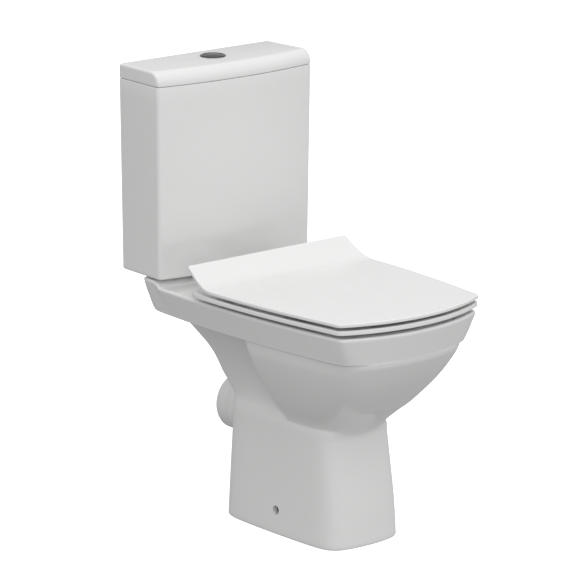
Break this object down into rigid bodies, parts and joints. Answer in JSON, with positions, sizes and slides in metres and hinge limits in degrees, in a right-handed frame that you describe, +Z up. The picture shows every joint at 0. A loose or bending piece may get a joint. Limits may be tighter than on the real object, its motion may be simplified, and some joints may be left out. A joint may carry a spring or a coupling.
{
  "type": "close coupled toilet",
  "caption": "Floor-standing toilet with a coupled cistern, horizontal outlet, slim seat and lid, twin push buttons and working flush and fill valves.",
  "frame": {"origin": "on the floor, under the middle of the whole object's width and depth", "axes": "+Z up, the bowl's front faces -Y and the wall is on +Y, +X is the right-hand side seen from the front"},
  "size_m": [0.364, 0.61, 0.7886],
  "materials": {
    "china": "white glaze, gloss",
    "seat_plastic": "moulded white thermoset, gloss",
    "chrome": "polished",
    "steel": "plated",
    "brass": "plain",
    "rubber": "matt black",
    "buffer": "soft translucent white",
    "white_plastic": "moulded",
    "valve_plastic": "moulded blue"
  },
  "bodies": {
    "root": {"pan_rim": "china", "pan_basin": "china", "pan_trap": "china", "pan_skirt": "china", "pan_foot": "china", "cistern": "china", "cistern_bolts": "brass", "bolt_rubber_washers": "rubber", "bolt_metal_washers": "steel", "bolt_wing_nuts": "brass", "cistern_pads": "rubber", "coupling_gasket": "rubber", "flush_valve_base": "valve_plastic", "flush_valve_washer": "rubber", "flush_valve_backnut": "white_plastic", "flush_valve_housing": "white_plastic", "lever_pin": "steel", "fill_valve_body": "white_plastic", "fill_valve_washer": "rubber", "fill_valve_nut": "white_plastic", "fill_valve_cap": "valve_plastic", "float_arm_pin": "steel", "hinge_posts": "chrome", "hinge_pins": "steel", "hinge_gaskets": "rubber", "seat_bolts": "steel", "seat_bolt_cones": "rubber", "seat_bolt_nuts": "white_plastic"},
    "cistern_lid": {"cistern_lid": "china", "button_bezel": "chrome", "button_nut": "white_plastic", "spring_full": "steel", "spring_half": "steel"},
    "full_flush_button": {"button_full": "chrome", "push_rod_full": "white_plastic"},
    "half_flush_button": {"button_half": "chrome", "push_rod_half": "white_plastic"},
    "lift_lever": {"lift_lever": "valve_plastic"},
    "valve_stem": {"overflow_tube": "valve_plastic", "flush_seal": "rubber", "float_bell": "white_plastic"},
    "half_flush_plunger": {"half_flush_plunger": "valve_plastic"},
    "fill_float": {"fill_float": "white_plastic"},
    "float_arm": {"float_arm": "valve_plastic"},
    "seat_ring": {"seat_ring": "seat_plastic", "ring_buffers": "buffer", "ring_damper": "valve_plastic"},
    "seat_lid": {"seat_lid": "seat_plastic", "lid_buffers": "buffer", "lid_damper": "valve_plastic"}
  },
  "joints": [
    {"name": "seat_ring_hinge", "type": "hinge", "parent": "root", "child": "seat_ring", "pos_m": [0, 0.115, 0.443], "axis": [-1, 0, 0], "range_deg": [0, 98]},
    {"name": "seat_lid_hinge", "type": "hinge", "parent": "seat_ring", "child": "seat_lid", "pos_m": [0, 0.115, 0.443], "axis": [1, 0, 0], "range_deg": [-98, 0]},
    {"name": "cistern_lid_lift", "type": "slide", "parent": "root", "child": "cistern_lid", "axis": [0, 0, 1], "range_m": [0, 0.12]},
    {"name": "full_flush_press", "type": "slide", "parent": "cistern_lid", "child": "full_flush_button", "axis": [0, 0, -1], "range_m": [0, 0.008], "stiffness_N_per_m": 800, "springref_m": -0.005, "deforming": ["spring_full"]},
    {"name": "half_flush_press", "type": "slide", "parent": "cistern_lid", "child": "half_flush_button", "axis": [0, 0, -1], "range_m": [0, 0.008], "stiffness_N_per_m": 800, "springref_m": -0.005, "deforming": ["spring_half"]},
    {"name": "lift_lever_turn", "type": "hinge", "parent": "root", "child": "lift_lever", "pos_m": [-0.006, 0.238, 0.717], "axis": [0, 1, 0], "range_deg": [0, 28.7]},
    {"name": "flush_valve_lift", "type": "slide", "parent": "root", "child": "valve_stem", "axis": [0, 0, 1], "range_m": [0, 0.0121]},
    {"name": "half_flush_vent", "type": "slide", "parent": "root", "child": "half_flush_plunger", "axis": [0, 0, -1], "range_m": [0, 0.0081]},
    {"name": "fill_float_rise", "type": "slide", "parent": "root", "child": "fill_float", "axis": [0, 0, 1], "range_m": [0, 0.01]},
    {"name": "float_arm_turn", "type": "hinge", "parent": "root", "child": "float_arm", "pos_m": [0.112, 0.278, 0.652], "axis": [0, 1, 0], "range_deg": [0, 23]}
  ],
  "couplings": [
    {"joint": "lift_lever_turn", "follows": "full_flush_press", "rad_per_m": 62.5},
    {"joint": "flush_valve_lift", "follows": "full_flush_press", "ratio": 1.5},
    {"joint": "half_flush_vent", "follows": "half_flush_press", "ratio": 1},
    {"joint": "float_arm_turn", "follows": "fill_float_rise", "rad_per_m": 40}
  ]
}
